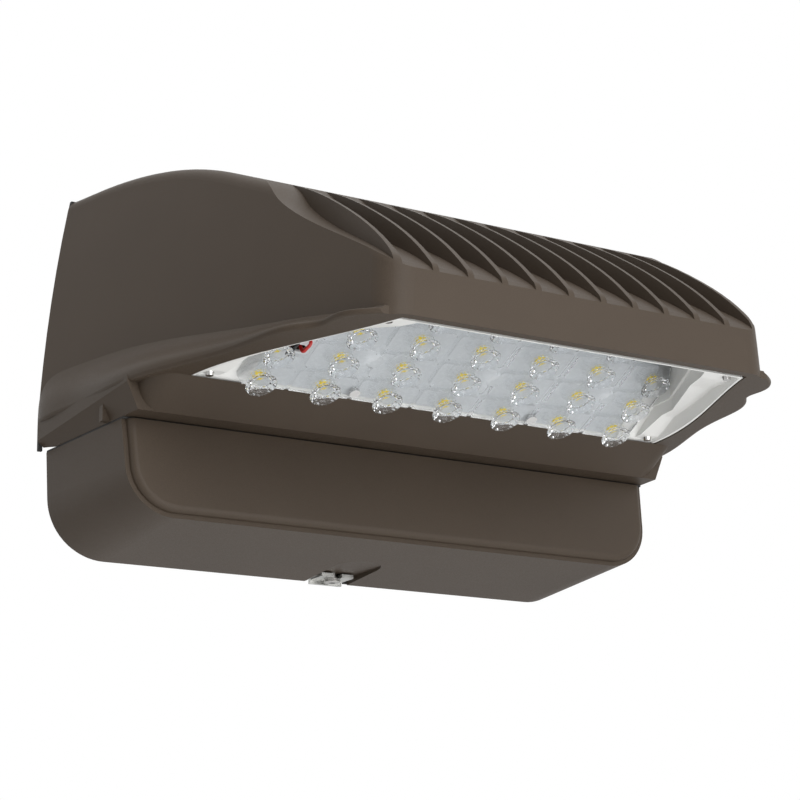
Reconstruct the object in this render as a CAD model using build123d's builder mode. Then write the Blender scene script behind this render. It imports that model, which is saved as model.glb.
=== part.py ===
"""Wall pack light: a finned cast head over a shallow cast box, hung on a wall plate.

The origin is the centre of the wall plate's back face. +Z is up, -Y is away from the wall and +X is to
the right of someone who faces the light. Depths are measured forward from the castings' back edge and
heights upward from the underside of the box, and the planes below carry both into the part's frame.
"""

from build123d import *

import os
from math import atan, cos, degrees, hypot, radians, sin, tan

# ---- driving dimensions, mm -------------------------------------------------------------------------
head_half = 172.0  # half the width of the head at the wall
head_height = 196.0  # top of the head above the underside of the box
head_depth = 248.0  # from the castings' back edge to the fascia
seam_height = 54.5  # joint between box and head
rim_height = 68.5  # plane of the light opening
mount_height = 100.0  # centre of the wall plate above the underside of the box
wall_gasket_thickness = 2.0
seam_gasket_thickness = 1.0
casting_wall = 3.5

# head
cheek_lean = 0.25  # how far a cheek closes in for each millimetre of depth
cheek_draw_in = 16.0  # how far a cheek has closed in at the top, seen from the front
cheek_belly = 2.4
top_edge_round = 8.0
fascia_corner_round = 16.0
fascia_top = 90.0
roof_flat = 22.0
rail_depth = 95.0  # lip of the rail, at the seam
rail_end_round = 12.0
opening_back = 117.5
opening_front = 243.5
opening_corner_round = 9.0
skirt_top_rear = 114.5  # height at which the skirt leaves the cheek, at the wall
skirt_top_fall = 0.172
skirt_rear_slope = 0.07
skirt_front_slope = 0.293
skirt_break = 93.0  # depth at which the skirt's edge turns inward
skirt_end = 230.0  # where the skirt's edge starts to turn in to the fascia
skirt_end_round = 22.0
rim_edge = 2.0
seam_bevel = 4.5
seam_reveal = 0.4  # how far the head's lower edge stands inside the box's

# fins
fin_count = 12
fin_pitch = 18.87
fin_tip = 2.0
fin_draft = 3.5
fin_line_angle = 33.2
fin_reach = 11.0

# box
box_half = 167.2
box_lean = 4.4
box_corner = 32.0
box_wall = 3.0
box_front_top = 78.6
box_front_foot = 84.3
box_panel_step = 2.4
box_panel_rise = 4.0
box_panel_round = 3.4
notch_half = 13.5
notch_depth = 46.0
notch_recess = 3.4

# light module, in its own slope
slope = 27.2
led_columns = 7
led_rows = 4
column_pitch = 36.1
row_pitch = 20.2
back_row_depth = 122.2
back_row_height = 73.4
board_thickness = 1.6
platform_thickness = 4.5
optic_gap = 1.0
optic_plate_thickness = 2.2
pad_height = 1.2
pad_gap = 2.6
lens_reach = 8.5  # from the board to the tip of a lens
lens_tip_radius = 8.0
lens_root_radius = 5.6

# light tray: depth and height of its flange's lower face, and its screws as X, depth and height
flange_line = [(109.5, 70.3), (125, 70.3), (148, 75), (200, 75), (222, 72), (248, 72)]
tray_screw_sites = [
    (hand * x, depth, height)
    for x, depth, height in ((134.0, 121.0, 70.3), (99.0, 229.0, 72.0))
    for hand in (-1, 1)
]
tray_wall = 1.2
tray_screw_radius = 1.4
tray_screw_length = 8.0
tray_head_radius = 2.4
tray_head_height = 1.8
optic_screw_radius = 1.5
optic_screw_sites = [
    (x * column_pitch, climb) for x in (-1.5, 1.5) for climb in (0.0, (led_rows - 1) * row_pitch)
]
port_x = 97.0  # where the leads come through to the board
port_climb = 20.5
port_length = 11.0
port_width = 5.0
post_radius = 4.0
post_pilot = 1.6
pilot_fit = 0.02  # radial room of a screw in its pilot hole

os.makedirs("parts", exist_ok=True)
back_edge = -wall_gasket_thickness


def side(x=0.0):
    """Side view: local x is depth from the castings' back edge, local y is height."""
    return Plane(origin=(x, back_edge, -mount_height), x_dir=(0, -1, 0), z_dir=(-1, 0, 0))


def level(height):
    """Plan at a height: local x is X and local y is minus the depth."""
    return Plane(origin=(0, back_edge, height - mount_height), x_dir=(1, 0, 0), z_dir=(0, 0, 1))


def front(depth=0.0):
    """Front view at a depth: local x is X and local y is height."""
    return Plane(origin=(0, back_edge - depth, -mount_height), x_dir=(1, 0, 0), z_dir=(0, -1, 0))


def module(lift=0.0):
    """The light module's slope: local x is X, local y climbs forward, and z is out of its upper side."""
    tilt = radians(slope)
    return Plane(
        origin=(0, back_edge - back_row_depth + lift * sin(tilt), back_row_height - mount_height + lift * cos(tilt)),
        x_dir=(-1, 0, 0),
        z_dir=(0, sin(tilt), cos(tilt)),
    )


def in_slope(climb, lift):
    """Depth and height of a point of the light module, from its climb up the slope and its lift off it."""
    tilt = radians(slope)
    return (
        back_row_depth + climb * cos(tilt) - lift * sin(tilt),
        back_row_height + climb * sin(tilt) + lift * cos(tilt),
    )


def save(builder, name):
    builder.part.label = name
    export_step(builder.part, f"parts/{name}.step")


# ---- head casting -----------------------------------------------------------------------------------
head_seam = seam_height + seam_gasket_thickness / 2
box_seam = seam_height - seam_gasket_thickness / 2


def cheek_outline(inset):
    """Half of the head as it meets the wall, from its centre line out to one cheek."""
    side_x = head_half - inset
    top_x = side_x - cheek_draw_in
    middle = (side_x + top_x) / 2 + cheek_belly
    crown = head_height + 2
    with BuildLine() as outline:
        ThreePointArc((side_x, rim_height), (middle, (rim_height + crown) / 2), (top_x, crown))
        Polyline((top_x, crown), (0, crown), (0, seam_height - 20), (side_x, seam_height - 20), (side_x, rim_height))
    return outline.line


def cheeks(inset):
    """Everything between the two leaning cheeks."""
    start = 2.0
    with BuildPart() as between:
        with BuildSketch(front(-start)):
            with BuildLine():
                add(cheek_outline(inset - cheek_lean * start))
            make_face()
        extrude(amount=(head_depth + 10) * hypot(1, cheek_lean), dir=Vector(-cheek_lean, -1, 0).normalized())
        mirror(about=Plane.YZ)
    return between.part


def crest():
    """The top of the head seen from the side: smooth to the fins, then along their edges to the fascia."""
    points = [
        (roof_flat, head_height),
        (55, 193.8),
        (87, 187.7),
        (116, 178.1),
        (140, 167.4),
        (166.4, 155),
        (200.4, 134.5),
        (228.3, 113.4),
        (head_depth, fascia_top + 3.5),
    ]
    return Spline(points)


with BuildPart() as head_blank:
    with BuildSketch(side()):
        with BuildLine():
            Line((0, head_height), (roof_flat, head_height))
            crest()
            Polyline(
                (head_depth, fascia_top + 3.5),
                (head_depth, rim_height),
                (0, rim_height),
                (0, head_height),
            )
        make_face()
    extrude(amount=head_half, both=True)
    add(cheeks(0), mode=Mode.INTERSECT)

    corners = head_blank.edges().filter_by(
        lambda edge: abs(edge.center().Y - (back_edge - head_depth)) < 0.1
        and abs(edge.center().X) > 80
        and abs(edge.tangent_at(0.5).Z) > 0.9
    )
    fillet(corners, fascia_corner_round)
    crown = head_blank.edges().filter_by(
        lambda edge: 90 < abs(edge.center().X) < 160 and edge.center().Z > -8 and edge.length > 20
    )
    fillet(crown, top_edge_round)

with BuildPart() as fin_field:
    with BuildSketch(side()):
        with BuildLine():
            Spline(
                (144, 167.5),
                (154, 160.6),
                (162, 154.0),
                (169, 146.0),
                (178, 138.0),
                (207, 118.6),
                (head_depth - 3, fascia_top + 4.2),
            )
            Polyline(
                (head_depth - 3, fascia_top + 4.2),
                (head_depth + 2, fascia_top - 1),
                (head_depth + 2, head_height),
                (144, head_height),
                (144, 167.5),
            )
        make_face()
    extrude(amount=head_half, both=True)

with BuildPart() as fin_blanks:
    with BuildSketch(
        Plane(
            origin=(0, back_edge - 207, 118.6 - 3 - mount_height),
            x_dir=(1, 0, 0),
            z_dir=(0, -sin(radians(fin_line_angle)), cos(radians(fin_line_angle))),
        )
    ):
        with GridLocations(fin_pitch, 1, fin_count, 1):
            Rectangle(fin_tip + 2 * (fin_reach + 3) * tan(radians(fin_draft)), 200)
    extrude(amount=fin_reach + 8, taper=fin_draft)
    add(head_blank.part, mode=Mode.INTERSECT)

with BuildPart() as upper_housing:
    add(head_blank.part)
    add(fin_field.part, mode=Mode.SUBTRACT)
    add(fin_blanks.part)


def skirt_section(depth):
    """The flare at one depth, from inside the cheek out to the rim's edge and back up to the cheek."""
    top = skirt_top_rear - skirt_top_fall * depth
    cheek = head_half - cheek_lean * depth - 0.08 * (top - rim_height) - 0.3
    rear = min(depth, skirt_break)
    rounding = max(0.0, depth - skirt_end) ** 2 / skirt_end_round
    edge = head_half - skirt_rear_slope * rear - skirt_front_slope * (depth - rear) - rounding
    rise = top - rim_height - rim_edge
    with BuildSketch(front(depth)) as section:
        with BuildLine():
            Polyline((cheek - 12, top), (cheek - 12, rim_height), (edge - rim_edge, rim_height))
            RadiusArc((edge - rim_edge, rim_height), (edge, rim_height + rim_edge), -rim_edge)
            Bezier(
                (edge, rim_height + rim_edge),
                (edge, rim_height + rim_edge + 0.4 * rise),
                (cheek, top - 0.6 * rise),
                (cheek, top),
            )
            Line((cheek, top), (cheek - 12, top))
        make_face()
    return section.sketch


skirt_depths = [0, 45, skirt_break, 130, 170, 205, skirt_end, 235, 239, 242, 244]
with BuildPart() as skirt:
    loft([skirt_section(depth) for depth in skirt_depths])



def band_section(depth):
    """One side of the head under its rim: a bevel that grows forward until it takes the whole side."""
    edge = head_half - skirt_rear_slope * depth
    foot = box_half - seam_reveal - tan(radians(box_lean)) * depth
    crease = head_seam + seam_bevel + (rim_height - head_seam - seam_bevel) * depth / rail_depth
    with BuildSketch(front(depth)) as section:
        with BuildLine():
            Polyline(
                (foot - 20, head_seam),
                (foot, head_seam),
                (edge, crease),
                (edge, rim_height + 3),
                (foot - 20, rim_height + 3),
                close=True,
            )
        make_face()
    return section.sketch


with BuildPart() as band:
    loft([band_section(0), band_section(rail_depth)], ruled=True)

rail_half = box_half - seam_reveal - tan(radians(box_lean)) * rail_depth
with BuildPart() as rail:
    with BuildSketch(side()):
        with BuildLine():
            Polyline(
                (rail_depth - 25, head_seam),
                (rail_depth, head_seam),
                (opening_back, rim_height),
                (opening_back, rim_height + 2),
                (rail_depth - 25, rim_height + 2),
                close=True,
            )
        make_face()
    extrude(amount=rail_half, both=True)
    ends = rail.edges().filter_by(
        lambda edge: abs(edge.center().X) > rail_half - 1
        and back_edge - edge.center().Y > rail_depth + 1
        and edge.center().Z < rim_height - mount_height - 1
    )
    fillet(ends, rail_end_round)


platform_top = board_thickness + platform_thickness
platform_rear = in_slope(-15, platform_top)
platform_front = in_slope(74, platform_top)
platform_under_rear = in_slope(-12.5, board_thickness)
platform_under_front = in_slope(82, board_thickness)

with BuildPart() as wiring_space:
    with BuildSketch(side()):
        with BuildLine():
            Polyline((-1, seam_height - 10), (-1, head_height - casting_wall), (roof_flat, head_height - casting_wall))
            Spline(
                (roof_flat, head_height - casting_wall),
                (55, 190.3),
                (87, 184.0),
                (116, 174.2),
                (136, 165.2),
                (150, 157.6),
                (160, 147.6),
                (170, 138.6),
                (platform_front[0], 127.6),
            )
            Polyline(
                (platform_front[0], 127.6),
                platform_front,
                platform_rear,
                (rail_depth - 2.5, head_seam + casting_wall),
                (box_front_top - 4, head_seam + casting_wall),
                (box_front_top - 4, seam_height - 10),
                (-1, seam_height - 10),
            )
        make_face()
    extrude(amount=head_half, both=True)
    add(cheeks(casting_wall * hypot(1, cheek_lean)), mode=Mode.INTERSECT)


def opening_outline(inset=0.0):
    """The light opening in plan, its sides bowed a little, with round front corners."""
    with BuildLine() as outline:
        right = Spline(
            (143.4 - inset, -(opening_back - 7)),
            (127.0 - inset, -178),
            (104.8 - inset, -231),
            (101.0 - inset, -(opening_front - inset)),
        )
        left = mirror(right, about=Plane.YZ)
        Line(right @ 0, left @ 0)
        Line(right @ 1, left @ 1)
    return outline.line


def opening_draw(height):
    """How far the opening has closed in at a height: quickly inside the skirt, then slowly."""
    low = min(height, rim_height + 10) - rim_height + 3
    high = max(height - rim_height - 10, 0)
    return 4 * low / 13 + 3 * high / 47


def opening_prism(gap, foot):
    """The opening drawn upward from a height, a gap inside the casting."""
    with BuildPart() as prism:
        for height in (foot, rim_height + 10, rim_height + 57):
            with BuildSketch(level(height)):
                with BuildLine():
                    add(opening_outline(gap + opening_draw(height)))
                make_face()
        loft(ruled=True)
    return prism.part


with BuildPart() as light_space:
    with BuildSketch(side()):
        with BuildLine():
            Polyline(
                (opening_back, rim_height),
                (opening_back, rim_height - 3),
                (opening_front + 2, rim_height - 3),
                (opening_front + 2, 88),
                (240, 92.4),
                (208, 112.6),
                platform_under_front,
                platform_under_rear,
                (platform_under_rear[0], rim_height),
                (opening_back, rim_height),
            )
        make_face()
    extrude(amount=head_half, both=True)
    add(opening_prism(0, rim_height - 3), mode=Mode.INTERSECT)

pin_depth = 16.0
pin_height = 188.0
pin_radius = 3.0
hook_x = 70.0
hook_width = 12.0
rib_thickness = 4.0
rib_gap = 1.0
screw_x = 146.0
boss_radius = 6.0
boss_pilot = 2.2
boss_depths = (14.0, 66.0)
rib_offset = hook_width / 2 + rib_gap + rib_thickness / 2

with BuildPart() as pin_ribs:
    for centre in (-hook_x, hook_x):
        for shift in (-rib_offset, rib_offset):
            with BuildSketch(side(centre + shift)):
                with BuildLine():
                    Polyline(
                        (3, head_height - 2),
                        (3, 184),
                        (12, pin_height - 6),
                        (20, pin_height - 6),
                        (30, head_height - 2),
                        close=True,
                    )
                make_face()
                with Locations((pin_depth, pin_height)):
                    Circle(pin_radius + 0.02, mode=Mode.SUBTRACT)
            extrude(amount=rib_thickness / 2, both=True)

with upper_housing:
    add(skirt.part)
    add(skirt.part.mirror(Plane.YZ))
    add(band.part)
    add(band.part.mirror(Plane.YZ))
    add(rail.part)
    add(wiring_space.part, mode=Mode.SUBTRACT)
    add(light_space.part, mode=Mode.SUBTRACT)
    add(pin_ribs.part)
    for depth in boss_depths:
        for hand in (-1, 1):
            with BuildSketch(level(head_seam)):
                with Locations((hand * screw_x, -depth)):
                    Circle(boss_radius)
                with Locations((hand * (screw_x + 10), -depth)):
                    Rectangle(20, rib_thickness)
            extrude(amount=16)
    with BuildSketch(level(head_seam)):
        with Locations(*[(x, -depth) for x in (-screw_x, screw_x) for depth in boss_depths]):
            Circle(boss_pilot)
    extrude(amount=12, mode=Mode.SUBTRACT)
    for x, depth, height in tray_screw_sites[2:]:
        with BuildSketch(level(height + tray_wall)):
            with Locations((x, -depth)):
                Circle(post_radius)
        extrude(amount=27)
    with BuildSketch(level(rim_height)):
        with Locations(*[(x, -depth) for x, depth, _ in tray_screw_sites]):
            Circle(tray_screw_radius + 0.02)
    extrude(amount=18, mode=Mode.SUBTRACT)
    with BuildSketch(module(-2)):
        with Locations(*optic_screw_sites):
            Circle(optic_screw_radius + 0.02)
        with Locations((port_x, port_climb)):
            SlotOverall(port_length, port_width)
    extrude(amount=12, mode=Mode.SUBTRACT)
save(upper_housing, "upper_housing")

# ---- box --------------------------------------------------------------------------------------------
def box_outline(inset=0.0):
    """The box as it meets the wall, left open far above the seam so that the taper keeps the seam flat."""
    half = box_half - inset
    foot = inset - 0.8
    with BuildSketch(front()) as outline:
        with BuildLine():
            lines = Polyline((half + 1, 90), (half - 2.8, foot), (2.8 - half, foot), (-half - 1, 90), close=True)
        make_face()
        feet = outline.vertices().group_by(Axis.Z)[0]
        fillet(feet, box_corner - inset)
    return outline.sketch


def behind_front_face(shift, top=box_seam):
    """Everything under the seam and behind the box's front face, moved forward by shift."""
    with BuildPart() as region:
        with BuildSketch(side()):
            with BuildLine():
                lean = (box_front_foot - box_front_top) / seam_height
                Polyline(
                    (-1, -10),
                    (box_front_foot + 10 * lean + shift, -10),
                    (box_front_foot - top * lean + shift, top),
                    (-1, top),
                    close=True,
                )
            make_face()
        extrude(amount=head_half, both=True)
    return region.part


with BuildPart() as box_panel:
    extrude(box_outline(box_panel_step), amount=box_front_foot + 12, taper=box_lean)
    add(behind_front_face(box_panel_rise), mode=Mode.INTERSECT)
    panel_rim = box_panel.edges().filter_by(
        lambda edge: back_edge - edge.center().Y > box_front_top + box_panel_rise - 2
        and edge.center().Z < box_seam - mount_height - 0.5
    )
    fillet(panel_rim, box_panel_round)

with BuildPart() as box_room:
    extrude(box_outline(box_wall), amount=box_front_foot + 4, taper=box_lean)
    add(behind_front_face(box_panel_rise - box_wall, seam_height + 10), mode=Mode.INTERSECT)

lock_depth = 7.0
lock_thread_radius = 2.5
lock_pad_height = 12.0
notch_pad_height = 6.6
notch_ceiling = notch_recess - 0.3


def notch_shape(grow):
    """The recess in the underside: a bar from the wall edge with a round end."""
    with BuildSketch(level(-10)) as shape:
        with Locations((0, -(notch_depth - notch_half) / 2)):
            Rectangle(2 * (notch_half + grow), notch_depth - notch_half)
        with Locations((0, -(notch_depth - notch_half))):
            Circle(notch_half + grow)
    return shape.sketch


with BuildPart() as notch_pad:
    extrude(notch_shape(box_wall), amount=notch_pad_height + 10)
    with BuildSketch(level(0)):
        with Locations((0, -lock_depth)):
            Circle(boss_radius)
    extrude(amount=lock_pad_height)
    add(box_room.part, mode=Mode.INTERSECT)

with BuildPart() as box_bosses:
    for depth in boss_depths:
        with BuildSketch(level(2)):
            with Locations((-screw_x, -depth), (screw_x, -depth)):
                Circle(boss_radius)
        extrude(amount=box_seam - 2)
    add(box_room.part, mode=Mode.INTERSECT)

floor_rise = tan(radians(box_lean))
driver_length = 150.0
driver_depth = 34.0
driver_height = 30.0
driver_x = 40.0
driver_centre_depth = 52.0
driver_floor = 13.0
bracket_thickness = 1.5
bracket_flange = 12.0
surge_x = -95.0
surge_length = 48.0
surge_width = 30.0
surge_height = 27.0
terminal_x = -59.0
terminal_width = 14.0
terminal_length = 26.0
terminal_height = 15.0
terminal_pitch = 8.0
pad_top = 10.0
ground_x = -126.0
ground_depth = 26.0
ground_top = 12.0

bracket_xs = (
    driver_x - driver_length / 2 - bracket_flange / 2,
    driver_x + driver_length / 2 + bracket_flange / 2,
)
with BuildPart() as driver_posts:
    for x in bracket_xs:
        with BuildSketch(level(0)):
            with Locations((x, -driver_centre_depth)):
                Circle(post_radius)
        extrude(amount=driver_floor - bracket_thickness)
    with BuildSketch(level(0)):
        with Locations((surge_x, -driver_centre_depth)):
            Rectangle(surge_length - 6, surge_width - 6)
        with Locations((terminal_x, -driver_centre_depth)):
            Rectangle(terminal_width - 4, terminal_length - 4)
    extrude(amount=pad_top)
    with BuildSketch(level(0)):
        with Locations((ground_x, -ground_depth)):
            Circle(post_radius)
    extrude(amount=ground_top)
    add(box_room.part, mode=Mode.INTERSECT)

with BuildPart() as lower_box:
    extrude(box_outline(), amount=box_front_foot + 4, taper=box_lean)
    add(behind_front_face(0), mode=Mode.INTERSECT)
    add(box_panel.part)
    add(box_room.part.moved(Location((0, 1, 0))), mode=Mode.SUBTRACT)
    add(box_room.part, mode=Mode.SUBTRACT)
    add(notch_pad.part)
    add(box_bosses.part)
    add(driver_posts.part)
    with BuildSketch(level(driver_floor)):
        with Locations(*[(x, -driver_centre_depth) for x in bracket_xs]):
            Circle(post_pilot)
        with Locations((ground_x, -ground_depth)):
            Circle(post_pilot)
    extrude(amount=-9, mode=Mode.SUBTRACT)
    extrude(notch_shape(0), amount=notch_ceiling + 10, mode=Mode.SUBTRACT)
    with BuildSketch(level(0)):
        with Locations((0, -lock_depth)):
            Circle(lock_thread_radius)
    extrude(amount=lock_pad_height + 1, mode=Mode.SUBTRACT)
    with BuildSketch(level(head_seam)):
        with Locations(*[(x, -depth) for x in (-screw_x, screw_x) for depth in boss_depths]):
            Circle(boss_pilot)
    extrude(amount=-20, mode=Mode.SUBTRACT)
save(lower_box, "lower_box")

# ---- wall plate -------------------------------------------------------------------------------------
plate_thickness = 2.0
plate_half = 104.0
plate_foot = 14.0
plate_top = 178.0
hook_thickness = 2.5
hook_clearance = 0.09
cable_hole_radius = 14.0
wall_screw_radius = 3.25
wall_screw_x = 90.0
wall_screw_heights = (35.0, 165.0)
box_slot_spacing = 88.9
box_slot_length = 12.0
box_slot_radius = 2.4
tongue_half = 10.0
tongue_gap = 0.9  # more than the notch dips over the tongue in the first degrees of the swing
tongue_top = notch_ceiling - tongue_gap
fork_half = 2.8
fork_end = 13.0


with BuildPart() as wall_plate:
    plate_back = front(-wall_gasket_thickness)
    with BuildSketch(plate_back):
        with Locations((0, (plate_foot + plate_top) / 2)):
            RectangleRounded(2 * plate_half, plate_top - plate_foot, 8)
        with Locations((0, (plate_foot + tongue_top) / 2)):
            Rectangle(2 * tongue_half, plate_foot - tongue_top + 8)
        for x in (-hook_x, hook_x):
            with Locations((x, (plate_top + pin_height - pin_radius) / 2 - 5)):
                Rectangle(hook_width, pin_height - pin_radius - hook_clearance - plate_top + 10)
        with Locations((0, mount_height)):
            Circle(cable_hole_radius, mode=Mode.SUBTRACT)
        with Locations(*[(x, z) for x in (-wall_screw_x, wall_screw_x) for z in wall_screw_heights]):
            Circle(wall_screw_radius, mode=Mode.SUBTRACT)
        with Locations((-box_slot_spacing / 2, mount_height), (box_slot_spacing / 2, mount_height)):
            SlotOverall(box_slot_length, 2 * box_slot_radius, mode=Mode.SUBTRACT)
    extrude(amount=plate_thickness)

    hook_inner = pin_radius + hook_clearance
    hook_outer = hook_inner + hook_thickness
    for x in (-hook_x, hook_x):
        with BuildSketch(side(x)):
            with Locations((pin_depth, pin_height)):
                Circle(hook_outer)
                Circle(hook_inner, mode=Mode.SUBTRACT)
                with Locations((-hook_outer, 0), (0, hook_outer)):
                    Rectangle(2 * hook_outer, 2 * hook_outer, mode=Mode.SUBTRACT)
            with Locations(((pin_depth - plate_thickness) / 2, pin_height - (hook_inner + hook_outer) / 2)):
                Rectangle(pin_depth + plate_thickness, hook_thickness)
            with Locations((pin_depth + (hook_inner + hook_outer) / 2, pin_height + 1)):
                Rectangle(hook_thickness, 2)
        extrude(amount=hook_width / 2, both=True)

    with BuildSketch(level(tongue_top)):
        with Locations((0, -(fork_end - plate_thickness) / 2)):
            Rectangle(2 * tongue_half, fork_end + plate_thickness)
        with Locations((0, -lock_depth)):
            Circle(fork_half, mode=Mode.SUBTRACT)
        with Locations((0, -(lock_depth + fork_end + 1) / 2)):
            Rectangle(2 * fork_half, fork_end + 1 - lock_depth, mode=Mode.SUBTRACT)
    extrude(amount=-plate_thickness)
save(wall_plate, "wall_plate")

with BuildPart() as cable_grommet:
    with BuildSketch(plate_back):
        with Locations((0, mount_height)):
            Circle(cable_hole_radius - 0.05)
            Circle(cable_hole_radius - 2.5, mode=Mode.SUBTRACT)
    extrude(amount=plate_thickness + 2)
    with BuildSketch(front(0.05)):
        with Locations((0, mount_height)):
            Circle(cable_hole_radius + 2)
            Circle(cable_hole_radius - 2.5, mode=Mode.SUBTRACT)
    extrude(amount=2)
save(cable_grommet, "cable_grommet")

with BuildPart() as hinge_pins:
    for x in (-hook_x, hook_x):
        with BuildSketch(side(x)):
            with Locations((pin_depth, pin_height)):
                Circle(pin_radius)
        extrude(amount=rib_offset + rib_thickness / 2 + 1, both=True)
save(hinge_pins, "hinge_pins")

lock_head_radius = 4.5
lock_head_height = 2.2
with BuildPart() as lock_screw:
    with BuildSketch(level(tongue_top - plate_thickness)):
        with Locations((0, -lock_depth)):
            Circle(lock_head_radius)
    extrude(amount=-lock_head_height)
    chamfer(lock_screw.edges().group_by(Axis.Z)[0], 0.5)
    with BuildSketch(level(tongue_top - plate_thickness - lock_head_height)):
        with Locations((0, -lock_depth)):
            RegularPolygon(1.7, 6)
    extrude(amount=1.4, mode=Mode.SUBTRACT)
    with BuildSketch(level(tongue_top - plate_thickness)):
        with Locations((0, -lock_depth)):
            Circle(lock_thread_radius - 0.08)
    extrude(amount=lock_pad_height + 2 - (tongue_top - plate_thickness))
save(lock_screw, "lock_screw")

# ---- gaskets ----------------------------------------------------------------------------------------
gasket_reveal = 0.7
seam_gasket_width = 1.6
with BuildPart() as seam_gasket:
    with BuildSketch(level(box_seam)) as seam_ring:
        with BuildLine():
            seam_half = box_half - gasket_reveal
            seam_taper = tan(radians(box_lean)) * box_front_top
            Polyline(
                (-seam_half, 0),
                (seam_half, 0),
                (seam_half - seam_taper, -box_front_top - 1.5),
                (seam_taper - seam_half, -box_front_top - 1.5),
                close=True,
            )
        make_face()
        offset(amount=-seam_gasket_width, mode=Mode.SUBTRACT)
    extrude(amount=seam_gasket_thickness)
save(seam_gasket, "seam_gasket")

gasket_inset = 0.8
wall_gasket_width = 2.2


def gasket_block(inset):
    """A slab behind both castings that stops short of their outline by an inset."""
    with BuildPart() as head_slab:
        with BuildSketch(front()):
            with BuildLine():
                add(cheek_outline(inset))
            make_face()
            mirror(about=Plane.YZ)
        extrude(amount=-wall_gasket_thickness)
        with BuildSketch(level(seam_height)):
            Rectangle(2 * head_half, 2 * head_half)
        extrude(amount=head_height - inset - seam_height, mode=Mode.INTERSECT)
    with BuildPart() as box_slab:
        extrude(box_outline(inset), amount=-wall_gasket_thickness)
        with BuildSketch(level(-5)):
            Rectangle(2 * head_half, 2 * head_half)
        extrude(amount=seam_height + 5, mode=Mode.INTERSECT)
        add(head_slab.part)
    return box_slab.part


with BuildPart() as wall_gasket:
    add(gasket_block(gasket_inset))
    add(gasket_block(gasket_inset + wall_gasket_width), mode=Mode.SUBTRACT)
    with BuildSketch(level(-5)):
        Rectangle(2 * tongue_half + 3, 20)
    extrude(amount=20, mode=Mode.SUBTRACT)
save(wall_gasket, "wall_gasket")

# ---- light module -----------------------------------------------------------------------------------
module_rear = -10.0
module_front = (led_rows - 1) * row_pitch + 12.0
board_half = (led_columns - 1) / 2 * column_pitch + 9.0
optic_half = 120.0
optic_break = 38.0
optic_front_half = 104.0
optic_rear = -6.0
optic_front = module_front - 1.0
board_corner = 8.0
optic_corner = 5.0
chip_size = 3.5
chip_thickness = 0.7
led_sites = [
    ((column - (led_columns - 1) / 2) * column_pitch, row * row_pitch)
    for row in range(led_rows)
    for column in range(led_columns)
    if row < led_rows - 1 or 0 < column < led_columns - 1
]


def plate_outline(half, rear, fore, cut):
    """A rectangle across the slope with its rear corners cut off."""
    with BuildLine() as outline:
        Polyline(
            (-half + cut, rear),
            (half - cut, rear),
            (half, rear + cut),
            (half, fore),
            (-half, fore),
            (-half, rear + cut),
            close=True,
        )
    return outline.line




def lead_port(lift):
    """The slot for the leads, drawn across the slope at a lift."""
    with BuildSketch(module(lift)) as slot:
        with Locations((port_x, port_climb)):
            SlotOverall(port_length, port_width)
    return slot.sketch


with BuildPart() as led_board:
    with BuildSketch(module()):
        with BuildLine():
            add(plate_outline(board_half, module_rear, module_front, board_corner))
        make_face()
        with Locations(*optic_screw_sites):
            Circle(optic_screw_radius + 0.05, mode=Mode.SUBTRACT)
    extrude(amount=board_thickness)
    extrude(lead_port(0), amount=board_thickness, mode=Mode.SUBTRACT)
save(led_board, "led_board")

with BuildPart() as led_chips:
    with BuildSketch(module()):
        with Locations(*led_sites):
            Rectangle(chip_size, chip_size)
    extrude(amount=-chip_thickness)
save(led_chips, "led_chips")

dome_sites = [(x * column_pitch, row_pitch * 1.1) for x in (1.5, -0.5, -2.5)]
root = optic_gap + optic_plate_thickness
straight = 1.2  # rim of a lens
flare = (lens_tip_radius - lens_root_radius) / (lens_reach - root - straight)


def optic_outline():
    """The optic plate across the slope, narrowing forward with the head."""
    with BuildLine() as outline:
        Polyline(
            (-optic_half + optic_corner, optic_rear),
            (optic_half - optic_corner, optic_rear),
            (optic_half, optic_rear + optic_corner),
            (optic_half, optic_break),
            (optic_front_half, optic_front),
            (-optic_front_half, optic_front),
            (-optic_half, optic_break),
            (-optic_half, optic_rear + optic_corner),
            close=True,
        )
    return outline.line


with BuildPart() as optic_pads:
    with BuildSketch(module(-root + pad_height)):
        with Locations(*led_sites):
            RectangleRounded(column_pitch - pad_gap, row_pitch - pad_gap, 2)
    extrude(amount=-pad_height)
    with BuildSketch(module()):
        with BuildLine():
            add(optic_outline())
        make_face()
    extrude(amount=-lens_reach, mode=Mode.INTERSECT)

with BuildPart() as optic_plate:
    with BuildSketch(module(-optic_gap)):
        with BuildLine():
            add(optic_outline())
        make_face()
    extrude(amount=-(optic_plate_thickness - pad_height))
    add(optic_pads.part)
    with BuildSketch(module(-root)):
        with Locations(*led_sites):
            Circle(lens_root_radius)
    extrude(amount=-(lens_reach - root - straight), taper=-degrees(atan(flare)))
    with BuildSketch(module(-(lens_reach - straight))):
        with Locations(*led_sites):
            Circle(lens_tip_radius)
    extrude(amount=-straight)
    with BuildSketch(module(-root + pad_height)):
        with Locations(*dome_sites):
            Circle(5)
    extrude(amount=-4, taper=20)
    with BuildSketch(module(-root - 1)):
        with Locations(*optic_screw_sites):
            Circle(optic_screw_radius + 0.05)
        with Locations((port_x - 1, port_climb + 3.5)):
            RectangleRounded(12.6, 13, 2)
    extrude(amount=root + 1, mode=Mode.SUBTRACT)
save(optic_plate, "optic_plate")

with BuildPart() as optic_screws:
    with BuildSketch(module(-root)):
        with Locations(*optic_screw_sites):
            Circle(2.8)
    extrude(amount=-1.8)
    with BuildSketch(module(-root)):
        with Locations(*optic_screw_sites):
            Circle(optic_screw_radius)
    extrude(amount=root + board_thickness + 3)
save(optic_screws, "optic_screws")

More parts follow.
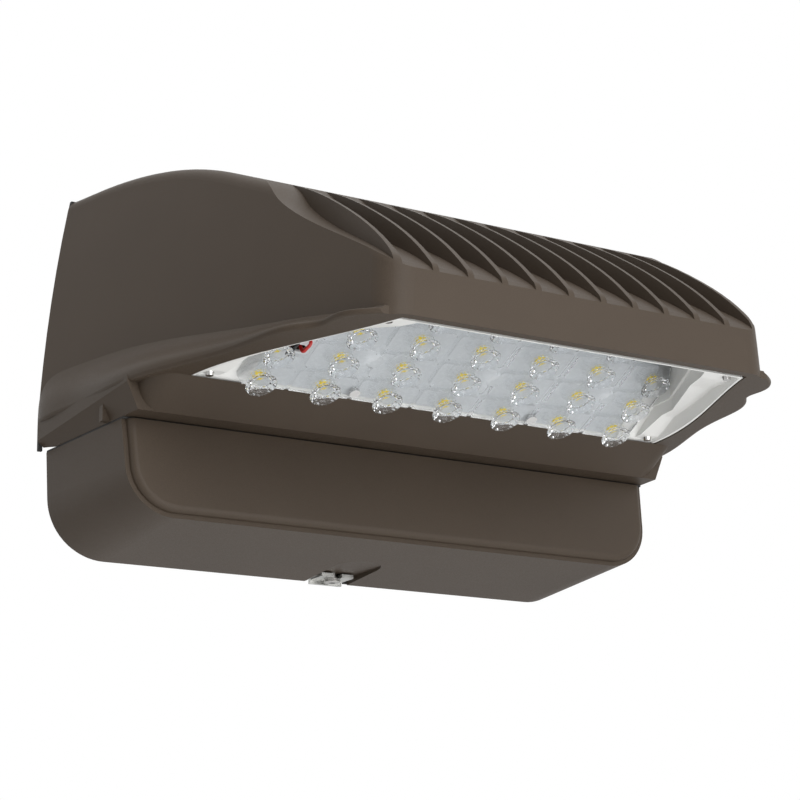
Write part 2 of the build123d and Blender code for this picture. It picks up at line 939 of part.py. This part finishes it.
tray_gap = 0.5
window_margin = 4.0
window_half = 112.0
recess_rear_half = 129.0
recess_break_half = 121.5
recess_break = 158.8
recess_front_half = 83.5
recess_front = 231.0
ledge_height = 81.5
ledge_width = 1.5


def under_ceiling(lift, front_wall):
    """Everything below the tray's ceiling, at a lift off the board, and behind its front wall."""
    with BuildPart() as room:
        with BuildSketch(side()):
            with BuildLine():
                Polyline(
                    (opening_back - 4.6, rim_height - 2),
                    (opening_back - 4.6, rim_height + 0.1),
                    in_slope(module_rear - 0.2 - 1.8 * lift, lift),
                    in_slope(module_front + 5, lift),
                    (opening_front - 9 - front_wall, 84),
                    (opening_front - 3 - front_wall, rim_height - 2),
                    close=True,
                )
            make_face()
        extrude(amount=head_half, both=True)
    return room.part


def under_flange(lift):
    """Everything below the tray's outer flange, which rises gently from the rear and then runs level."""
    with BuildPart() as slab:
        with BuildSketch(side()):
            with BuildLine():
                Polyline(
                    (opening_back - 8, rim_height - 5),
                    *[(depth, height + lift) for depth, height in flange_line],
                    (head_depth, rim_height - 5),
                    close=True,
                )
            make_face()
        extrude(amount=head_half, both=True)
    return slab.part


def recess_prism(inset, top):
    """The space round the optics, its outline set in and cut off at a height."""
    with BuildPart() as prism:
        with BuildSketch(level(rim_height - 5)):
            with BuildLine():
                Polyline(
                    (recess_rear_half - inset, -(opening_back - 8)),
                    (recess_break_half - inset, -recess_break),
                    (recess_front_half - inset, -(recess_front - inset)),
                    (inset - recess_front_half, -(recess_front - inset)),
                    (inset - recess_break_half, -recess_break),
                    (inset - recess_rear_half, -(opening_back - 8)),
                    close=True,
                )
            make_face()
        extrude(amount=top - rim_height + 5)
    return prism.part


with BuildPart() as tray_hollow:
    add(recess_prism(0, ledge_height))
    add(recess_prism(ledge_width, head_height))
    add(under_flange(0))
    add(opening_prism(tray_gap + tray_wall, rim_height - 1), mode=Mode.INTERSECT)
    add(under_ceiling(-optic_gap, tray_wall), mode=Mode.INTERSECT)

with BuildPart() as light_tray:
    add(recess_prism(-tray_wall, ledge_height + tray_wall))
    add(recess_prism(ledge_width - tray_wall, head_height))
    add(under_flange(tray_wall))
    add(opening_prism(tray_gap, rim_height + 0.3), mode=Mode.INTERSECT)
    add(under_ceiling(0, 0), mode=Mode.INTERSECT)
    add(tray_hollow.part, mode=Mode.SUBTRACT)
    with BuildSketch(module(1)):
        with BuildLine():
            Polyline(
                (-window_half, optic_rear + 2),
                (window_half, optic_rear + 2),
                (window_half, optic_break),
                (optic_front_half - window_margin, optic_front - window_margin),
                (window_margin - optic_front_half, optic_front - window_margin),
                (-window_half, optic_break),
                close=True,
            )
        make_face()
    extrude(amount=-6, mode=Mode.SUBTRACT)
    with BuildSketch(level(rim_height)):
        with Locations(*[(x, -depth) for x, depth, _ in tray_screw_sites]):
            Circle(tray_screw_radius + 0.1)
    extrude(amount=20, mode=Mode.SUBTRACT)
save(light_tray, "light_tray")

with BuildPart() as tray_screws:
    for x, depth, height in tray_screw_sites:
        with BuildSketch(level(height)):
            with Locations((x, -depth)):
                Circle(tray_head_radius)
        extrude(amount=-tray_head_height, taper=15)
        with BuildSketch(level(height)):
            with Locations((x, -depth)):
                Circle(tray_screw_radius)
        extrude(amount=tray_screw_length)
save(tray_screws, "tray_screws")

# ---- gear in the box --------------------------------------------------------------------------------
with BuildPart() as driver_bracket:
    with BuildSketch(level(driver_floor - bracket_thickness)):
        with Locations((driver_x, -driver_centre_depth)):
            Rectangle(driver_length + 2 * bracket_flange, driver_depth - 4)
        with Locations(*[(x, -driver_centre_depth) for x in bracket_xs]):
            Circle(post_pilot + 0.3, mode=Mode.SUBTRACT)
    extrude(amount=bracket_thickness)
save(driver_bracket, "driver_bracket")

with BuildPart() as driver:
    with BuildSketch(level(driver_floor)):
        with Locations((driver_x, -driver_centre_depth)):
            Rectangle(driver_length, driver_depth)
    extrude(amount=driver_height)
    fillet(driver.edges().filter_by(Axis.X), 2.5)
save(driver, "driver")

with BuildPart() as bracket_screws:
    with BuildSketch(level(driver_floor)):
        with Locations(*[(x, -driver_centre_depth) for x in bracket_xs]):
            Circle(3.2)
    extrude(amount=2.2)
    fillet(bracket_screws.edges().group_by(Axis.Z)[-1], 1.0)
    with BuildSketch(level(driver_floor)):
        with Locations(*[(x, -driver_centre_depth) for x in bracket_xs]):
            Circle(post_pilot - 0.02)
    extrude(amount=-7)
save(bracket_screws, "bracket_screws")

with BuildPart() as surge_protector:
    with BuildSketch(level(pad_top)):
        with Locations((surge_x, -driver_centre_depth)):
            RectangleRounded(surge_length, surge_width, 3)
    extrude(amount=surge_height)
    fillet(surge_protector.edges().group_by(Axis.Z)[-1], 1.5)
save(surge_protector, "surge_protector")

with BuildPart() as terminal_block:
    with BuildSketch(level(pad_top)):
        with Locations((terminal_x, -driver_centre_depth)):
            Rectangle(terminal_width, terminal_length)
    extrude(amount=terminal_height)
    with BuildSketch(level(pad_top + terminal_height)):
        with Locations((terminal_x, -driver_centre_depth)):
            with GridLocations(1, terminal_pitch, 1, 3):
                Circle(2.2)
    extrude(amount=-4, mode=Mode.SUBTRACT)
save(terminal_block, "terminal_block")


def at(x, depth, height):
    return (x, back_edge - depth, height - mount_height)


def on_slope(x, climb, lift):
    return at(x, *in_slope(climb, lift))


def lead(points, bend, radius=1.0):
    """A round wire along straight runs with round bends."""
    with BuildPart() as wire:
        with BuildLine() as path:
            FilletPolyline(*points, radius=bend)
        with BuildSketch(Plane(origin=path.line @ 0, z_dir=path.line % 0)):
            Circle(radius)
        sweep()
    return wire.part


driver_left = driver_x - driver_length / 2
driver_right = driver_x + driver_length / 2
terminal_top = pad_top + terminal_height
terminal_right = terminal_x + terminal_width / 2
lead_turn_x = (terminal_right + driver_left) / 2 + 2
supply_leads = {"line_lead": driver_centre_depth - terminal_pitch, "neutral_lead": driver_centre_depth}
for name, depth in supply_leads.items():
    with BuildPart() as supply_lead:
        add(
            lead(
                [
                    at(terminal_right, depth, pad_top + 9),
                    at(lead_turn_x, depth, pad_top + 9),
                    at(lead_turn_x, depth, driver_floor + 20),
                    at(driver_left, depth, driver_floor + 20),
                ],
                3,
            )
        )
    save(supply_lead, name)

surge_right = surge_x + surge_length / 2
terminal_left = terminal_x - terminal_width / 2
surge_turn_x = (surge_right + terminal_left) / 2
with BuildPart() as surge_leads:
    for depth in (driver_centre_depth - terminal_pitch, driver_centre_depth):
        add(
            lead(
                [
                    at(surge_right, depth, pad_top + 16),
                    at(surge_turn_x, depth, pad_top + 16),
                    at(surge_turn_x, depth, pad_top + 9),
                    at(terminal_left, depth, pad_top + 9),
                ],
                1.3,
            )
        )
save(surge_leads, "surge_leads")

ring_thickness = 0.8
with BuildPart() as ground_lead:
    with BuildSketch(level(ground_top)):
        with Locations((ground_x, -ground_depth)):
            Circle(4.2)
        with Locations((ground_x + 5, -ground_depth)):
            Rectangle(6, 2.6)
        with Locations((ground_x, -ground_depth)):
            Circle(post_pilot + 0.2, mode=Mode.SUBTRACT)
    extrude(amount=ring_thickness)
    add(
        lead(
            [
                at(ground_x + 6, ground_depth, ground_top + 1),
                at(terminal_x, ground_depth, ground_top + 1),
                at(terminal_x, driver_centre_depth - terminal_length / 2, ground_top + 1),
            ],
            6,
        )
    )
save(ground_lead, "ground_lead")

with BuildPart() as ground_screw:
    with BuildSketch(level(ground_top + ring_thickness)):
        with Locations((ground_x, -ground_depth)):
            RegularPolygon(3.4, 6)
    extrude(amount=2.4)
    with BuildSketch(level(ground_top + ring_thickness)):
        with Locations((ground_x, -ground_depth)):
            Circle(post_pilot - pilot_fit)
    extrude(amount=-6)
save(ground_screw, "ground_screw")

board_leads = {"red_lead": (-94.0, -92.5, 52.0, 15.0, 0.0), "black_lead": (-100.0, -99.0, 42.0, 20.0, 4.0)}
for name, (port, end, depth, lead_run, apart) in board_leads.items():
    with BuildPart() as board_lead:
        add(
            lead(
                [
                    at(driver_right, depth, driver_floor + 18),
                    at(driver_right + 8 + apart, depth, driver_floor + 18),
                    at(driver_right + 8 + apart, depth, 98 + apart),
                    on_slope(driver_right - 20, port_climb, lead_run),
                    on_slope(port, port_climb, lead_run),
                    on_slope(port, port_climb, -2.8),
                    on_slope(end, port_climb + 7, -2.8),
                    on_slope(end, port_climb + 7, 0),
                ],
                1.8,
                0.9,
            )
        )
    save(board_lead, name)

with BuildPart() as case_screws:
    for x in (-screw_x, screw_x):
        for depth in boss_depths:
            with BuildSketch(level(box_seam - 14)):
                with Locations((x, -depth)):
                    Circle(boss_pilot - pilot_fit)
            extrude(amount=24)
save(case_screws, "case_screws")
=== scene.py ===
import bpy
import bmesh
from math import cos, pi, radians, sin
from mathutils import Matrix, Vector


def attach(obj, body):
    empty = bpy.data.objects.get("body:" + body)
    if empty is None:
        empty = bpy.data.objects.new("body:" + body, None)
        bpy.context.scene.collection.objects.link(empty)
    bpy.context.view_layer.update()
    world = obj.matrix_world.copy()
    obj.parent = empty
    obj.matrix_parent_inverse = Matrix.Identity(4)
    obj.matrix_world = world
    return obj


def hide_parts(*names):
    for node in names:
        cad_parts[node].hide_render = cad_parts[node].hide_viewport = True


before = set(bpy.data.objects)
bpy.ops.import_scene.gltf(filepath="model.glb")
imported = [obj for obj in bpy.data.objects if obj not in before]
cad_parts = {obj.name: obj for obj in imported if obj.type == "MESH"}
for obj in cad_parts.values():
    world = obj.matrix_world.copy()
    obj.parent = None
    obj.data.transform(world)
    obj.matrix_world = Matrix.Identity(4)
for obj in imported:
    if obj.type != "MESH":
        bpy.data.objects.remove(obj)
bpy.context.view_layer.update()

# camera: solved from the photograph, looking up at the light from its lower left
view = {
    "place": (-0.589326, -1.014307, -0.326823),  # metres
    "turn": 0.5640769,  # radians to the right of straight at the wall
    "climb": 0.2748673,  # radians above the horizon
    "roll": 0.0219905,
    "focal": 2152.1475,  # pixels
    "frame": 800,
    "sensor": 36,  # millimetres
    "clip": (0.05, 50),
}


def makeCamera():
    turn, climb, roll = view["turn"], view["climb"], view["roll"]
    forward = Vector((sin(turn) * cos(climb), cos(turn) * cos(climb), sin(climb)))
    right = Vector((cos(turn), -sin(turn), 0))
    down = forward.cross(right)
    across = cos(roll) * right + sin(roll) * down
    below = -sin(roll) * right + cos(roll) * down
    turned = Matrix((across, -below, -forward)).transposed().to_4x4()
    data = bpy.data.cameras.new("camera")
    data.sensor_width = view["sensor"]
    data.lens = view["focal"] / view["frame"] * data.sensor_width
    data.clip_start, data.clip_end = view["clip"]
    camera = bpy.data.objects.new("camera", data)
    camera.matrix_world = Matrix.Translation(view["place"]) @ turned
    bpy.context.scene.collection.objects.link(camera)
    bpy.context.scene.camera = camera


makeCamera()
bpy.context.scene.view_settings.view_transform = "Standard"
print("camera in place")


class Wire:
    # one socket of a node tree; sums and products of wires add their Math nodes
    def __init__(self, nodes, socket):
        self.nodes, self.socket = nodes, socket

    def __add__(self, other):
        return self.nodes.math("ADD", self, other)

    def __mul__(self, other):
        return self.nodes.math("MULTIPLY", self, other)

    __radd__ = __add__
    __rmul__ = __mul__


class Nodes:
    # a node tree of a material or the world
    def __init__(self, tree):
        self.tree = tree

    def join(self, value, socket):
        if isinstance(value, Wire):
            self.tree.links.new(value.socket, socket)
        else:
            socket.default_value = value

    def node(self, kind, settings=None, values=None, out=0):
        made = self.tree.nodes.new(kind)
        for key, value in (settings or {}).items():
            setattr(made, key, value)
        for key, value in (values or {}).items():
            self.join(value, made.inputs[key])
        return Wire(self, made.outputs[out]) if made.outputs else None

    def math(self, operation, first, second):
        return self.node("ShaderNodeMath", {"operation": operation}, {0: first, 1: second})

    def ray(self, kind):
        return self.node("ShaderNodeLightPath", out=kind)

    def blend(self, amount, first, second):
        return self.node("ShaderNodeMixShader", {}, {0: amount, 1: first, 2: second})


class Finish(Nodes):
    # a material, with its shader
    def __init__(self, name):
        self.material = bpy.data.materials.new(name)
        self.material.use_nodes = True
        super().__init__(self.material.node_tree)
        self.shader = self.tree.nodes["Principled BSDF"]

    def feed(self, **values):
        for key, value in values.items():
            self.join(value, self.shader.inputs[key.replace("_", " ")])

    def noise(self, scale, detail=2.0, roughness=0.5):
        place = self.node("ShaderNodeTexCoord", out="Object")
        values = {"Vector": place, "Scale": scale, "Detail": detail, "Roughness": roughness}
        return self.node("ShaderNodeTexNoise", {}, values)

    def mix(self, amount, first, second):
        # a Mix node's two colours are its inputs 6 and 7, and the mixed one is its output 2
        colours = {0: amount, 6: (*first, 1), 7: (*second, 1)}
        return self.node("ShaderNodeMix", {"data_type": "RGBA"}, colours, out=2)

    def spread(self, grain, start, end):
        # the middle of a noise, where nearly all of it lies, over a range
        values = {"Value": grain, "From Min": 0.3, "From Max": 0.7, "To Min": start, "To Max": end}
        return self.node("ShaderNodeMapRange", {}, values)

    def bump(self, height, distance, strength):
        values = {"Height": height, "Distance": distance, "Strength": strength}
        return self.node("ShaderNodeBump", {}, values, out="Normal")


coat = {
    "dark": (0.03, 0.021, 0.014),
    "light": (0.068, 0.05, 0.035),
    "grain": (1500.0, 3.0, 0.6),  # scale, detail and roughness of the noise
    "cloud": (14.0, 3.0, 0.55),
    "grainShare": 0.65,
    "cloudShare": 0.35,
    "grainHeight": 0.00009,
    "grainStrength": 0.55,
    "roughness": (0.42, 0.58),
    "specular": 0.22,
}


def powderCoat():
    made = Finish("bronzePowderCoat")
    grain = made.noise(*coat["grain"])
    cloud = made.noise(*coat["cloud"])
    tone = grain * coat["grainShare"] + cloud * coat["cloudShare"]
    made.feed(
        Base_Color=made.mix(tone, coat["dark"], coat["light"]),
        Roughness=made.spread(grain, *coat["roughness"]),
        Normal=made.bump(grain, coat["grainHeight"], coat["grainStrength"]),
        Specular_IOR_Level=coat["specular"],
    )
    return made.material


plastics = {
    "whiteTray": {"colour": (0.72, 0.72, 0.7), "roughness": 0.35, "grain": 900.0, "height": 0.00002},
    "boardMask": {"colour": (0.7, 0.72, 0.73), "roughness": 0.25, "grain": 500.0, "height": 0.00001},
    "driverCase": {"colour": (0.62, 0.62, 0.6), "roughness": 0.5, "grain": 700.0, "height": 0.00004},
    "surgeCase": {"colour": (0.025, 0.025, 0.03), "roughness": 0.3, "grain": 500.0, "height": 0.00002},
    "terminalNylon": {"colour": (0.6, 0.57, 0.5), "roughness": 0.45, "grain": 800.0, "height": 0.00003},
    "gasketFoam": {"colour": (0.022, 0.021, 0.02), "roughness": 0.85, "grain": 1800.0, "height": 0.0002},
    "grommetRubber": {"colour": (0.02, 0.02, 0.02), "roughness": 0.6, "grain": 900.0, "height": 0.00004},
    "blackWire": {"colour": (0.012, 0.012, 0.013), "roughness": 0.35, "grain": 400.0, "height": 0.00002},
    "whiteWire": {"colour": (0.7, 0.7, 0.68), "roughness": 0.35, "grain": 400.0, "height": 0.00002},
    "redWire": {"colour": (0.45, 0.02, 0.015), "roughness": 0.35, "grain": 400.0, "height": 0.00002},
    "greenWire": {"colour": (0.02, 0.2, 0.05), "roughness": 0.35, "grain": 400.0, "height": 0.00002},
    "greenScrew": {"colour": (0.02, 0.18, 0.05), "roughness": 0.3, "grain": 600.0, "height": 0.00002},
}
moulding = {
    "cloudScale": 20.0,
    "shade": 0.93,  # the darkest of the colour's clouds
    "smoother": 0.05,
    "rougher": 0.07,
    "strength": 0.5,
}


def moulded(name):
    facts = plastics[name]
    made = Finish(name)
    colour = Vector(facts["colour"])
    grain = made.noise(facts["grain"])
    cloud = made.noise(moulding["cloudScale"])
    smooth, rough = facts["roughness"] - moulding["smoother"], facts["roughness"] + moulding["rougher"]
    made.feed(
        Base_Color=made.mix(cloud, colour * moulding["shade"], colour),
        Roughness=made.spread(grain, smooth, rough),
        Normal=made.bump(grain, facts["height"], moulding["strength"]),
    )
    return made.material


metals = {
    "zincPlate": {"colour": (0.55, 0.55, 0.53), "roughness": 0.38, "scratch": 260.0},
    "pinSteel": {"colour": (0.6, 0.6, 0.59), "roughness": 0.22, "scratch": 700.0},
    "screwSteel": {"colour": (0.5, 0.49, 0.47), "roughness": 0.3, "scratch": 500.0},
    "brightScrew": {"colour": (0.72, 0.71, 0.7), "roughness": 0.14, "scratch": 800.0},
}
brushing = {
    "detail": 3.0,
    "shade": 0.85,
    "smoother": 0.06,
    "rougher": 0.08,
    "height": 0.00001,
    "strength": 0.4,
}


def metal(name):
    facts = metals[name]
    made = Finish(name)
    colour = Vector(facts["colour"])
    grain = made.noise(facts["scratch"], brushing["detail"])
    smooth, rough = facts["roughness"] - brushing["smoother"], facts["roughness"] + brushing["rougher"]
    made.feed(
        Base_Color=made.mix(grain, colour * brushing["shade"], colour),
        Metallic=1.0,
        Roughness=made.spread(grain, smooth, rough),
        Normal=made.bump(grain, brushing["height"], brushing["strength"]),
    )
    return made.material


acrylic = {
    "colour": (0.97, 0.985, 1.0),
    "index": 1.49,
    "haze": 300.0,
    "roughness": (0.01, 0.06),
    "height": 0.00001,
    "strength": 0.3,
}


def clearAcrylic():
    made = Finish("clearAcrylic")
    haze = made.noise(acrylic["haze"])
    made.feed(
        Base_Color=(*acrylic["colour"], 1),
        Roughness=made.spread(haze, *acrylic["roughness"]),
        Transmission_Weight=1.0,
        IOR=acrylic["index"],
        Normal=made.bump(haze, acrylic["height"], acrylic["strength"]),
    )
    # shadow rays pass straight through, so the board behind is lit by the lamps
    glass = Wire(made, made.shader.outputs[0])
    straight = made.node("ShaderNodeBsdfTransparent")
    surface = made.tree.nodes["Material Output"].inputs["Surface"]
    made.join(made.blend(made.ray("Is Shadow Ray"), glass, straight), surface)
    return made.material


glow = {
    "deep": (0.85, 0.6, 0.0),
    "bright": (1.0, 0.85, 0.02),
    "grain": 2500.0,
    "roughness": 0.4,
    "height": 0.00003,
    "strength": 0.4,
}


def phosphor():
    made = Finish("phosphor")
    grain = made.noise(glow["grain"])
    made.feed(
        Base_Color=made.mix(grain, glow["deep"], glow["bright"]),
        Roughness=glow["roughness"],
        Normal=made.bump(grain, glow["height"], glow["strength"]),
    )
    return made.material


finishes = {name: moulded(name) for name in plastics}
finishes.update({name: metal(name) for name in metals})
finishes["powderCoat"] = powderCoat()
finishes["clearAcrylic"] = clearAcrylic()
finishes["phosphor"] = phosphor()
print("finishes made", len(finishes))

wearing = {
    "powderCoat": ["upper_housing", "lower_box"],
    "zincPlate": ["wall_plate", "driver_bracket"],
    "grommetRubber": ["cable_grommet"],
    "pinSteel": ["hinge_pins"],
    "screwSteel": ["lock_screw", "bracket_screws", "case_screws"],
    "gasketFoam": ["seam_gasket", "wall_gasket"],
    "whiteTray": ["light_tray"],
    "brightScrew": ["tray_screws", "optic_screws"],
    "boardMask": ["led_board"],
    "phosphor": ["led_chips"],
    "clearAcrylic": ["optic_plate"],
    "driverCase": ["driver"],
    "surgeCase": ["surge_protector"],
    "terminalNylon": ["terminal_block"],
    "blackWire": ["line_lead", "surge_leads", "black_lead"],
    "whiteWire": ["neutral_lead"],
    "greenWire": ["ground_lead"],
    "redWire": ["red_lead"],
    "greenScrew": ["ground_screw"],
}
for name, nodes in wearing.items():
    for node in nodes:
        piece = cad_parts[node]
        if not piece.material_slots:
            piece.data.materials.append(None)
        for slot in piece.material_slots:
            slot.material = finishes[name]
print("nodes dressed")

lens = {
    "moduleOrigin": (0.0, -0.1242, -0.0266),  # rear row of LEDs on the board's face, metres
    "slope": 27.2,  # degrees, climbing away from the wall
    "columnPitch": 0.0361,
    "rowPitch": 0.0202,
    "rows": (7, 7, 7, 5),
    "sheetFace": 0.0032,  # from the board down to the sheet's lower face
    "faceMargin": 0.0004,  # what hangs further below that face than this is a plain lens
    "segments": 36,
    "flutes": 12,
    "fluteDepth": 0.09,
    "fluted": (0.0035, 0.0082),  # reaches between which the side is fluted
    # outside from the neck down to the rim, then up the hollow in its end: reach and radius, metres
    "outline": [
        (0.0032, 0.0056), (0.0036, 0.0064), (0.0044, 0.0065), (0.005, 0.0057), (0.0055, 0.0055),
        (0.0063, 0.0063), (0.0071, 0.0073), (0.0079, 0.0079), (0.0083, 0.008), (0.0085, 0.0077),
        (0.0081, 0.0064), (0.0073, 0.0048), (0.0067, 0.003), (0.0071, 0.0012), (0.0072, 0.0),
    ],
}


def moduleFrame():
    tilt = radians(lens["slope"])
    out = Vector((0, sin(tilt), cos(tilt)))
    across = Vector((-1, 0, 0))
    turned = Matrix((across, out.cross(across), out)).transposed()
    return Matrix.Translation(lens["moduleOrigin"]) @ turned.to_4x4()


def ledPlaces():
    for row, count in enumerate(lens["rows"]):
        for column in range(count):
            yield (column - (count - 1) / 2) * lens["columnPitch"], row * lens["rowPitch"]


def addRing(mesh, x, climb, reach, radius):
    start, end = lens["fluted"]
    depth = lens["fluteDepth"] if start < reach < end else 0.0
    ring = []
    for k in range(lens["segments"]):
        turn = 2 * pi * k / lens["segments"]
        wide = radius * (1 - depth * (1 - cos(lens["flutes"] * turn)) / 2)
        ring.append(mesh.verts.new((x + wide * cos(turn), climb + wide * sin(turn), -reach)))
    return ring


def addLens(mesh, x, climb):
    # one fluted bell: its open neck meets the sheet, and its wide end is a dish with a low middle
    rings = [addRing(mesh, x, climb, *place) for place in lens["outline"][:-1]]
    middle = mesh.verts.new((x, climb, -lens["outline"][-1][0]))
    count = lens["segments"]
    for upper, lower in zip(rings, rings[1:]):
        for k in range(count):
            after = (k + 1) % count
            mesh.faces.new((upper[k], lower[k], lower[after], upper[after]))
    for k in range(count):
        mesh.faces.new((rings[-1][k], middle, rings[-1][(k + 1) % count]))


def makeLenses():
    # a copy of the solid plate's sheet without its plain lenses, with a fluted lens at each place
    into = moduleFrame()
    mesh = bmesh.new()
    mesh.from_mesh(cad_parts["optic_plate"].data)
    bmesh.ops.transform(mesh, matrix=into.inverted(), verts=mesh.verts)
    lowest = -lens["sheetFace"] - lens["faceMargin"]
    hanging = [v for v in mesh.verts if v.co.z < lowest]
    bmesh.ops.delete(mesh, geom=hanging, context="VERTS")
    for x, climb in ledPlaces():
        addLens(mesh, x, climb)
    bmesh.ops.recalc_face_normals(mesh, faces=mesh.faces)
    bmesh.ops.transform(mesh, matrix=into, verts=mesh.verts)
    data = bpy.data.meshes.new("lensSheet")
    mesh.to_mesh(data)
    mesh.free()
    for polygon in data.polygons:
        polygon.use_smooth = False
    piece = bpy.data.objects.new("lensSheet", data)
    bpy.context.scene.collection.objects.link(piece)
    data.materials.append(finishes["clearAcrylic"])
    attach(piece, "fixture")
    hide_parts("optic_plate")


makeLenses()
print("lenses moulded")

studio = {
    "floorHeight": -1.0,
    "floorSize": 14,
    "floorForward": -1.0,
    "fibres": (60.0, 3.0),
    "fibreShade": 0.97,
    "floorRoughness": 0.9,
    "white": (1, 1, 1, 1),
    "ambient": 0.5,
    "paper": (0.88, 0.88, 0.88),
    "lamps": {
        # place, aim, width and height, watts
        "key": ((-0.5, -2.5, 1.2), (0, -0.1, 0.0), (1.8, 1.8), 36.0),
        "front": ((0.9, -2.6, 0.2), (0, -0.1, 0.0), (1.6, 1.6), 18.0),
        "below": ((0.1, -1.1, -0.85), (0, -0.15, 0.0), (1.4, 1.4), 13.0),
        "top": ((0.0, -0.3, 2.2), (0, -0.1, 0.0), (1.6, 1.2), 20.0),
        "wallSide": ((0.7, 2.2, 0.7), (0, 0.0, 0.0), (1.6, 1.6), 14.0),
    },
}


def makeWorld():
    # the camera, glass and gloss see white paper, and everything else is lit by a weaker sky
    world = bpy.data.worlds.new("studio")
    bpy.context.scene.world = world
    world.use_nodes = True
    world.node_tree.nodes.clear()
    nodes = Nodes(world.node_tree)
    through = nodes.math("MAXIMUM", nodes.ray("Is Camera Ray"), nodes.ray("Is Transmission Ray"))
    seen = nodes.math("MAXIMUM", through, nodes.ray("Is Glossy Ray"))
    sky = nodes.node("ShaderNodeBackground", {}, {"Color": studio["white"], "Strength": studio["ambient"]})
    paper = nodes.node("ShaderNodeBackground", {}, {"Color": studio["white"], "Strength": 1.0})
    nodes.node("ShaderNodeOutputWorld", {}, {"Surface": nodes.blend(seen, sky, paper)})


def makeFloor():
    place = (0, studio["floorForward"], studio["floorHeight"])
    bpy.ops.mesh.primitive_plane_add(size=studio["floorSize"], location=place)
    floor = bpy.context.object
    floor.name = "floor"
    made = Finish("floorPaper")
    shaded = Vector(studio["paper"]) * studio["fibreShade"]
    made.feed(
        Base_Color=made.mix(made.noise(*studio["fibres"]), shaded, studio["paper"]),
        Roughness=studio["floorRoughness"],
    )
    floor.data.materials.append(made.material)


def makeLamps():
    for name, (place, aim, size, watts) in studio["lamps"].items():
        data = bpy.data.lights.new(name, "AREA")
        data.shape = "RECTANGLE"
        data.size, data.size_y = size
        data.energy = watts
        lamp = bpy.data.objects.new(name, data)
        lamp.location = place
        lamp.rotation_mode = "QUATERNION"
        lamp.rotation_quaternion = (Vector(aim) - Vector(place)).to_track_quat("-Z", "Y")
        bpy.context.scene.collection.objects.link(lamp)


makeWorld()
makeFloor()
makeLamps()
print("studio lit")
